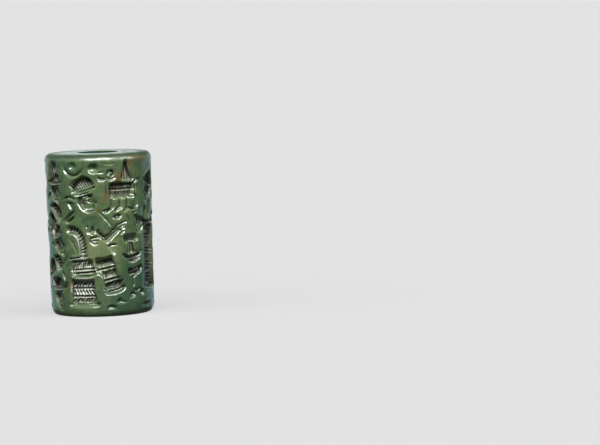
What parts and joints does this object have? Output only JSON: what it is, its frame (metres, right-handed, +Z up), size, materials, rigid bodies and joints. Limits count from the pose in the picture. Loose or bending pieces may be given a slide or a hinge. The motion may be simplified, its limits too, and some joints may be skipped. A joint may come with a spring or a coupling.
{
  "type": "cylinder seal",
  "caption": "Small pierced cylinder of polished green stone, carved all round in sunk relief with a scene that rolls out as a raised frieze on clay.",
  "frame": {"origin": "centre of the foot face, on the axis of the bore", "axes": "+Z up along the axis of the bore, -Y towards the seated god's side"},
  "size_m": [0.0162, 0.0162, 0.0245],
  "materials": {
    "green_stone": "polished dark green stone, mottled, with an orange-brown vein and pale abrasion in the carving"
  },
  "bodies": {
    "root": {"seal": "green_stone"}
  },
  "joints": []
}
